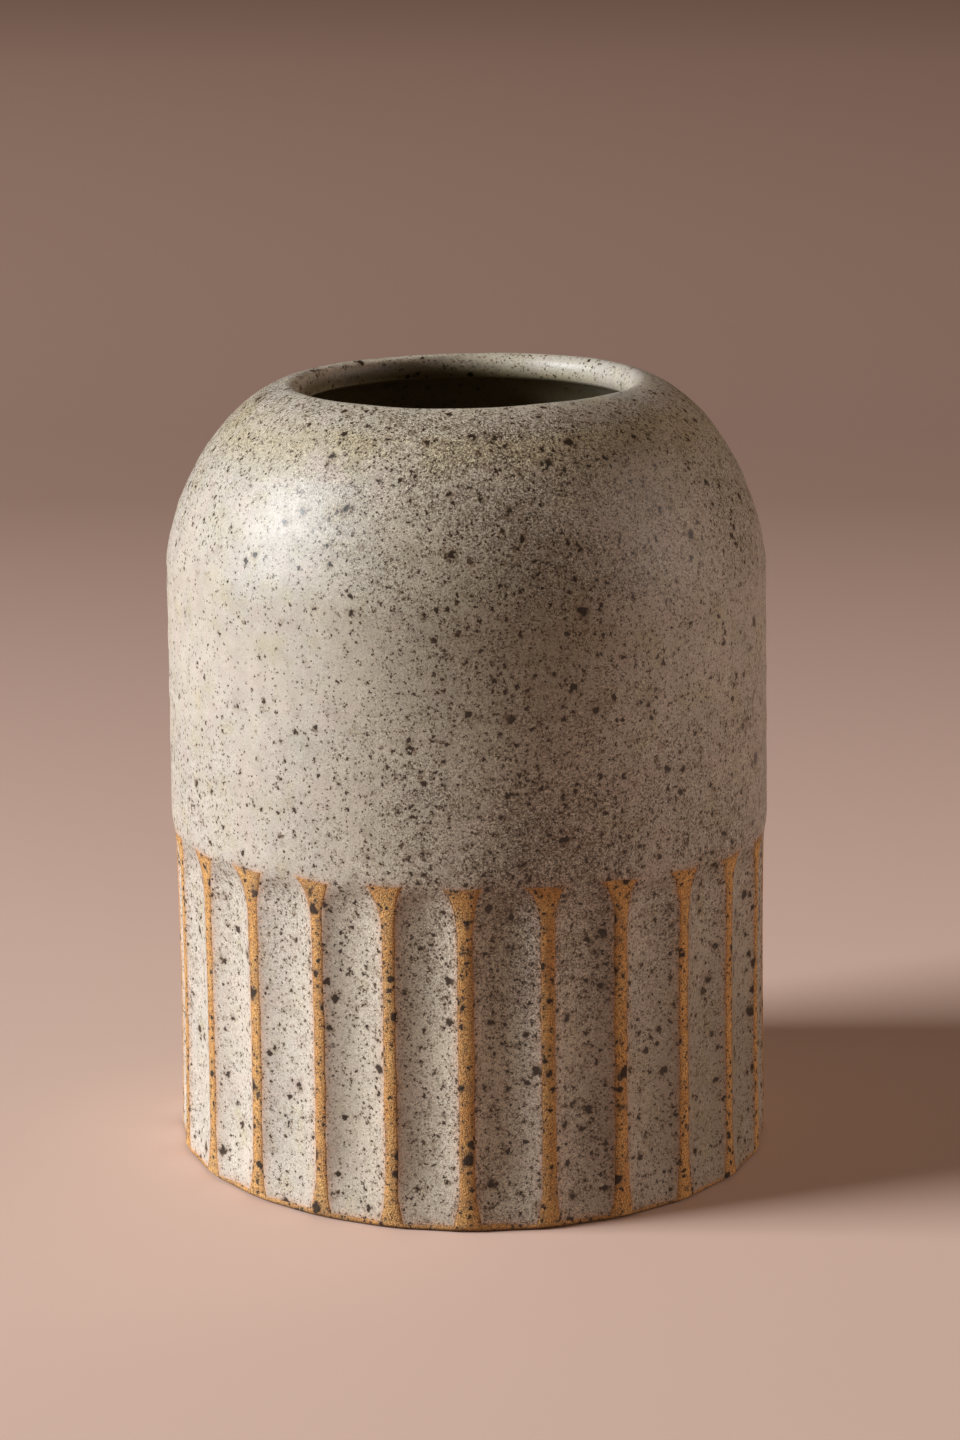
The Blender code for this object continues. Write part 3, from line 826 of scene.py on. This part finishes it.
# %% Hues of the glaze
# A ramp is written as (low, high, value at low, value at high); 0 and 1 where only two are given.
COLLAR_FROM, COLLAR_TO = (109, 115), (119, 117)  # straw below the lip, by height
COLLAR_BY_HUE = (0.0, 0.6, 0.2, 0.9)
STRAW_BY_HUE, ROSE_BY_HUE = (0.5, 1.0, 0, 0.55), (0.45, 0.0, 0, 0.7)
SHADE_EDGE_X, SHADE_EDGE_TINT = -4.0, (26, 8, 0, 0.35)  # painted warm tint where the lit side turns to shade, an upright band by distance in x
ROSE_SHARE, ROSE_REACH = 0.65, -1.2  # reach is negative: it fades into the glaze
THIN_SHARE, THIN_REACH = 0.85, (0, 1, -0.22, -0.65)  # peach beside the clay, by tone


def glaze_hue(tree, at, mottled, tinted, border):
    """Warm and cool cream in patches, with straw, a straw tint painted where the lit side turns to
    shade, rose, and peach where the coat is thin.
    """
    collar = times(tree, ramp(tree, at["height"], *COLLAR_FROM), ramp(tree, at["height"], *COLLAR_TO),
                   ramp(tree, mottled["Hue"], *COLLAR_BY_HUE))
    # painted warm tint: an upright band where the lit side turns to shade
    from_shade_edge = reckon(tree, "ABSOLUTE", reckon(tree, "SUBTRACT", at["x"], SHADE_EDGE_X))
    straw = largest(tree, ramp(tree, tinted["Hue"], *STRAW_BY_HUE), collar, ramp(tree, from_shade_edge, *SHADE_EDGE_TINT))
    rosy = largest(tree, ramp(tree, tinted["Hue"], *ROSE_BY_HUE), fade(tree, border, ROSE_REACH))
    thinness = fade(tree, border, ramp(tree, tinted["Tone"], *THIN_REACH))
    color = blend(tree, mottled["Hue"], WARM, COOL)
    color = blend(tree, straw, color, STRAW)
    color = blend(tree, times(tree, rosy, ROSE_SHARE), color, ROSE)
    return blend(tree, times(tree, thinness, THIN_SHARE), color, THIN)


print("the straw collar lies", COLLAR_FROM[0], "to", COLLAR_TO[0], "mm up")


# %% Where the specks crowd
AWAY_FROM_LAMP_X, AWAY_FROM_LAMP_Y = 0.8, 0.6  # direction away from the window lamp's side
BY_LAMP_SIDE, FLUTED_WALL = (-44, -20, 0.22, 1.15), (58, 50, 0, 0.42)  # by side, fewer specks towards the lamp as painted light; by height
BY_HUE, BY_TONE = (0.0, 0.8, 0.75, 1.15), (0, 1, 0.55, 1.45)
DOME_BELT, WALL_BELT = (100, 88, 1.2, 0.72), (84, 66, 0.72, 1.2)  # fewest between, by height
FAR_SIDE, OUTSIDE_LIP, LINER_SHARE = (4, 30, 1, 0.55), (26.5, 31, 0.25, 1), 0.3
SMALL_CROWD, MIDDLE_CROWD = (50, 30, 1, 0.6), (105, 60, 0.65, 1.3)  # by height
LARGE_CROWD = (105, 40, 0.6, 1.8)


def glaze_crowds(tree, at, mottled, tinted, sparse):
    """How many specks there are at a spot, and how many of them are small, middle and large."""
    height = at["height"]
    # painted light: fewer specks on the side towards the window lamp make it brighter and smoother
    lamp_facing = reckon(tree, "ADD", times(tree, at["x"], AWAY_FROM_LAMP_X), times(tree, at["y"], AWAY_FROM_LAMP_Y))
    lamp_side_share = largest(tree, ramp(tree, lamp_facing, *BY_LAMP_SIDE), ramp(tree, height, *FLUTED_WALL))
    belts = largest(tree, ramp(tree, height, *DOME_BELT), ramp(tree, height, *WALL_BELT))
    near_lip = LINER_SHARE if sparse else ramp(tree, at["radius"], *OUTSIDE_LIP)
    crowd = times(tree, lamp_side_share, ramp(tree, mottled["Hue"], *BY_HUE),
                  ramp(tree, tinted["Tone"], *BY_TONE), belts, ramp(tree, at["x"], *FAR_SIDE), near_lip)
    small = times(tree, crowd, ramp(tree, height, *SMALL_CROWD))
    middle = times(tree, small, ramp(tree, height, *MIDDLE_CROWD))
    large = times(tree, crowd, ramp(tree, height, *LARGE_CROWD))
    return crowd, (small, middle, large)


print("share of specks on the flame's side:", BY_LAMP_SIDE[2])


# %% Tone, smoke and painted light and shade
TONE_RANGE, SALT_RANGE, BRIGHTEST = (0, 1, 0.92, 1.08), (0, 1, 0.98, 1.4), 1.4
# painted light: the wall below 93 mm and the fluting below 58 mm are painted paler
PAINTED_BELLY_LIGHT, PAINTED_FLUTE_LIGHT = (93, 84, 1.0, 1.05), (58, 47, 1.0, 1.11)
SHADE_SIDE_TONE = (6, 32, 1.0, 0.88)  # painted shade: darker towards +x, away from the window lamp
# The first two patches are smoke; the third, low on the +x side near the table, is painted shade.
SMOKE_AND_SHADE_PATCHES = [((5, -44, 93), 26, 6), ((20, -26, 113), 16, 4), ((40, -24, 14), 40, 12)]


def glaze_tone(tree, at, mottled, pale):
    """Brightness: cloudy tone, times pale grains, times painted light on the lower wall and painted
    shade towards +x.
    """
    shade = times(tree, ramp(tree, mottled["Tone"], *TONE_RANGE), ramp(tree, pale, *SALT_RANGE),
                  ramp(tree, at["height"], *PAINTED_BELLY_LIGHT), ramp(tree, at["height"], *PAINTED_FLUTE_LIGHT),
                  ramp(tree, at["x"], *SHADE_SIDE_TONE))
    return reckon(tree, "MINIMUM", shade, BRIGHTEST)


def add_smoke_and_shade(tree, place, color):
    """Dull patches of (spot, far, near), two of smoke and one of painted shade: full within near of the
    spot, gone beyond far.
    """
    for spot, far, near in SMOKE_AND_SHADE_PATCHES:
        distance = reckon_vectors(tree, "DISTANCE", place, spot)["Value"]
        color = blend(tree, ramp(tree, distance, far, near), color, SMOKE_AND_SHADE, "MULTIPLY")
    return color


print(len(SMOKE_AND_SHADE_PATCHES), "smoky patches")


# %% The glaze inside the mouth
SIDE_SHADE_BY_X = (12, -14, 0, 0.6)  # painted shade: browner towards -x, where the inner wall faces away from the lamp
SHADE_DROP_BY_X, DEPTH_SHADE_BY_HEIGHT = (-10, 24, -1, 4), (120.3, 117.4)  # painted shade: darker below this height, which lies lower towards +x, where the inner wall faces the lamp
INNER_HALF = (26.8, 26.0)  # the inner half of the lip, by radius


def paint_inside_shade(tree, at, color, sparse):
    """Painted shade inside: browner on the side away from the lamp and darker with depth; the outer
    coat only on the inner half of its lip.
    """
    side_shade = ramp(tree, at["x"], *SIDE_SHADE_BY_X)
    shade_height = reckon(tree, "ADD", at["height"], ramp(tree, at["x"], *SHADE_DROP_BY_X))
    depth_shade = ramp(tree, shade_height, *DEPTH_SHADE_BY_HEIGHT)
    for share, shadow in (side_shade, PAINTED_SIDE_SHADE), (depth_shade, LINER_DEPTH_SHADE if sparse else DEPTH_SHADE):
        if not sparse:
            share = times(tree, share, ramp(tree, at["radius"], *INNER_HALF))
        color = blend(tree, share, color, shadow, "MULTIPLY")
    return color


print("the glaze is dark from", DEPTH_SHADE_BY_HEIGHT[1], "mm down")


# %% The glaze material
PATCH, GRAIN, TINT_PATCH, TINT_GRAIN = 10.0, 0.17, 5.0, 0.3
TINT_PEPPER = 0.8  # strength of the coarser dark grains
SATIN, IRON_GLOSS = (0, 1, 0.38, 0.46), -0.1
TONE_RELIEF, SALT_RELIEF, PEPPER_RELIEF = 0.012, 0.006, -0.006


def make_glaze(name, layers, sparse=False):
    """A satin glaze with its specks, dark inside the lip; the liner's copy has fewer specks."""
    material, tree, shader, place = new_material(name)
    at = find_spot(tree, place)
    mottled = use_group(tree, mottle, Place=place, Patch=PATCH, Grain=GRAIN)
    tinted = use_group(tree, mottle, Place=place, Patch=TINT_PATCH, Grain=TINT_GRAIN)
    crowd, crowds = glaze_crowds(tree, at, mottled, tinted, sparse)
    salt = largest(tree, mottled["Salt"], tinted["Salt"])
    grains = largest(tree, mottled["Pepper"], times(tree, tinted["Pepper"], TINT_PEPPER))

    color = glaze_hue(tree, at, mottled, tinted, read_border(tree))
    color = dim(tree, color, glaze_tone(tree, at, mottled, times(tree, salt, crowd)))
    color = add_smoke_and_shade(tree, place, color)
    color = blend(tree, times(tree, grains, crowds[0]), color, PEPPER)
    color, iron = add_specks(tree, place, color, crowds, layers)
    fill(tree, shader.inputs["Base Color"], paint_inside_shade(tree, at, color, sparse))

    satin = ramp(tree, tinted["Tone"], *SATIN)
    fill(tree, shader.inputs["Roughness"], reckon(tree, "MULTIPLY_ADD", iron, IRON_GLOSS, satin))
    rough = reckon(tree, "MULTIPLY_ADD", tinted["Tone"], TONE_RELIEF, times(tree, salt, SALT_RELIEF))
    relief(tree, shader, reckon(tree, "MULTIPLY_ADD", grains, PEPPER_RELIEF, rough))
    return material


speckled = make_glaze("speckled_glaze", GLAZE_SPECKS)
coat.data.materials.append(speckled)
inner = make_glaze("inner_glaze", LINER_SPECKS, sparse=True)
liner.data.materials.append(inner)
print("speckled_glaze has", len(speckled.node_tree.nodes), "nodes")

# %% [markdown]
# ## The bare clay
# Where the ridges were wiped clean, the clay has fired to an amber like toast. It is dry and
# slightly sandy to the touch, with the same grains of iron. Painted shade browns it next to
# the glaze, where a ridge's edge turns into a flute, and a painted contact shadow darkens its
# edge at the table.

# %% Colours and specks of the clay
AMBER, DEEP_AMBER = paint(0.94, 0.55, 0.2), paint(0.86, 0.43, 0.13)
# The first and last colours on this line are painted shade: beside the glaze, and a contact shadow at
# the table.
EDGE_SHADE, RUSTY, CONTACT_SHADOW = paint(0.5, 0.22, 0.09), paint(0.3, 0.12, 0.035), paint(0.09, 0.04, 0.02)
EDGE_SHADE_SHARE, EDGE_SHADE_REACH = 0.6, 0.4  # painted shade beside the glaze; the distance is negative on clay
# painted contact shadow, full at the table and fading upwards
CONTACT_SHADOW_BY_HEIGHT = (0.7, 0.1, 0, 0.9)
CLAY_TONE, CLAY_SALT, RUSTY_SHARE = (0, 1, 0.88, 1.08), (0, 1, 0.97, 1.3), 0.85
CLAY_DRY, CLAY_RELIEF = (0, 1, 0.7, 0.85), 0.03
CLAY_SPECKS = [
    (0.66, 0.22, 0.7, 3.6), (1.2, 0.4, 0.75, 3.0), (2.3, 0.7, 0.7, 2.0), (4.6, 1.05, 0.65, 1.4)]
print(len(CLAY_SPECKS), "sizes of speck")


# %% The clay material
CLAY_PATCH, CLAY_GRAIN = 6.0, 0.22


def make_clay():
    """Dry amber stoneware with sandy relief, with painted shade beside the glaze and a painted contact
    shadow at the table.
    """
    material, tree, shader, place = new_material("amber_stoneware")
    mottled = use_group(tree, mottle, Place=place, Patch=CLAY_PATCH, Grain=CLAY_GRAIN)
    height = put(tree, "SeparateXYZ", Vector=place).outputs["Z"]
    edge_shade = fade(tree, read_border(tree), EDGE_SHADE_REACH)
    shade = times(tree, ramp(tree, mottled["Tone"], *CLAY_TONE),
                  ramp(tree, mottled["Salt"], *CLAY_SALT))

    color = blend(tree, mottled["Hue"], AMBER, DEEP_AMBER)
    color = blend(tree, times(tree, edge_shade, EDGE_SHADE_SHARE), color, EDGE_SHADE)
    # painted contact shadow along the edge at the table
    color = blend(tree, ramp(tree, height, *CONTACT_SHADOW_BY_HEIGHT), color, CONTACT_SHADOW)
    color = dim(tree, color, shade)
    color = blend(tree, times(tree, mottled["Pepper"], RUSTY_SHARE), color, RUSTY)
    color, _ = add_specks(tree, place, color, (1.0, 1.0, 1.0), CLAY_SPECKS)
    fill(tree, shader.inputs["Base Color"], color)

    fill(tree, shader.inputs["Roughness"], ramp(tree, mottled["Tone"], *CLAY_DRY))
    pits = times(tree, mottled["Pepper"], -CLAY_RELIEF)
    relief(tree, shader, reckon(tree, "MULTIPLY_ADD", mottled["Salt"], CLAY_RELIEF, pits))
    return material


amber = make_clay()
stoneware.data.materials.append(amber)
print("amber_stoneware has", len(amber.node_tree.nodes), "nodes")

# %% [markdown]
# ## Floor and light
# One tall soft lamp stands to the left like a window, and a faint one to the right like
# the light that a wall sends back. Between them the glaze turns slowly from bright to
# shade. The floor is a rosy paper, pale near the pot, painted duskier behind it as shade,
# and paler again far away. The camera sees it paler than the pot does, so that it makes a
# light background and still doesn't brighten the pot from below.

# %% A pale floor
# the second colour paints the floor darker behind the pot, as shade
SEEN_PALE, SEEN_PAINTED_DUSK = paint(0.84, 0.59, 0.475), paint(0.42, 0.255, 0.195)
SEEN_FAR, FELT = paint(0.75, 0.46, 0.35), paint(0.3, 0.2, 0.16)  # FELT is met by bounced light
PAINTED_DUSK_STARTS, FAR_STARTS = (30, 500), (600, 1800)  # millimetres behind the pot; the dusk is painted shade
PAPER_ROUGHNESS, FLOOR_HALF = 0.9, 6.0  # half the side of the square, in metres


def make_paper():
    """A dry paper: one colour for the camera and mirror rays, and a darker one for bounces."""
    material, tree, shader, place = new_material("floor_paper")
    path = put(tree, "LightPath").outputs
    direct = largest(tree, path["Is Camera Ray"], path["Is Glossy Ray"], path["Is Transmission Ray"])
    behind = put(tree, "SeparateXYZ", Vector=place).outputs["Y"]
    # painted shade: the paper darkens behind the pot
    seen = blend(tree, ramp(tree, behind, *PAINTED_DUSK_STARTS), SEEN_PALE, SEEN_PAINTED_DUSK)
    seen = blend(tree, ramp(tree, behind, *FAR_STARTS), seen, SEEN_FAR)
    fill(tree, shader.inputs["Base Color"], blend(tree, direct, FELT, seen))
    shader.inputs["Roughness"].default_value = PAPER_ROUGHNESS
    return material


def make_floor(half, material):
    """A flat square under the pot."""
    square = [(-half, -half, 0), (half, -half, 0), (half, half, 0), (-half, half, 0)]
    mesh = bpy.data.meshes.new("floor")
    mesh.from_pydata(square, [], [(0, 1, 2, 3)])
    mesh.materials.append(material)
    floor = bpy.data.objects.new("floor", mesh)
    scene.collection.objects.link(floor)
    return floor


floor = make_floor(FLOOR_HALF, make_paper())
print("floor:", floor.dimensions[0], "m across")


# %% Lamps and surrounding light
def add_lamp(name, turn, climb, distance, size, power, color):
    """A soft lamp facing the pot's middle; turn is from the front towards +X, size (width, height)."""
    turn, climb = math.radians(turn), math.radians(climb)
    away = np.array([math.sin(turn) * math.cos(climb), -math.cos(turn) * math.cos(climb),
                     math.sin(climb)])
    data = bpy.data.lights.new(name, "AREA")
    data.shape = "RECTANGLE"
    (data.size, data.size_y), data.energy, data.color = size, power, color
    lamp = bpy.data.objects.new(name, data)
    lamp.location = away * distance + np.array([0, 0, HEIGHT * MM / 2])
    lamp.rotation_euler = (math.pi / 2 - climb, 0, turn)
    scene.collection.objects.link(lamp)


LAMPS = [  # name, turn and climb in degrees, distance and size in metres, power in watts, colour
    ("window", -79, 26.5, 2.4, (0.9, 1.05), 73, (0.95, 0.985, 1.03)),
    ("wall_bounce", 85, 20, 1.5, (1.2, 1.2), 7.0, (0.98, 0.8, 0.7)),
]
AMBIENT = paint(0.055, 0.037, 0.023)
for lamp_values in LAMPS:
    add_lamp(*lamp_values)
world = bpy.data.worlds.new("surroundings")
world.use_nodes = True
world.node_tree.nodes["Background"].inputs["Color"].default_value = AMBIENT
scene.world = world
scene.view_settings.view_transform = "Standard"
print("lamps:", [lamp.name for lamp in bpy.data.lights])
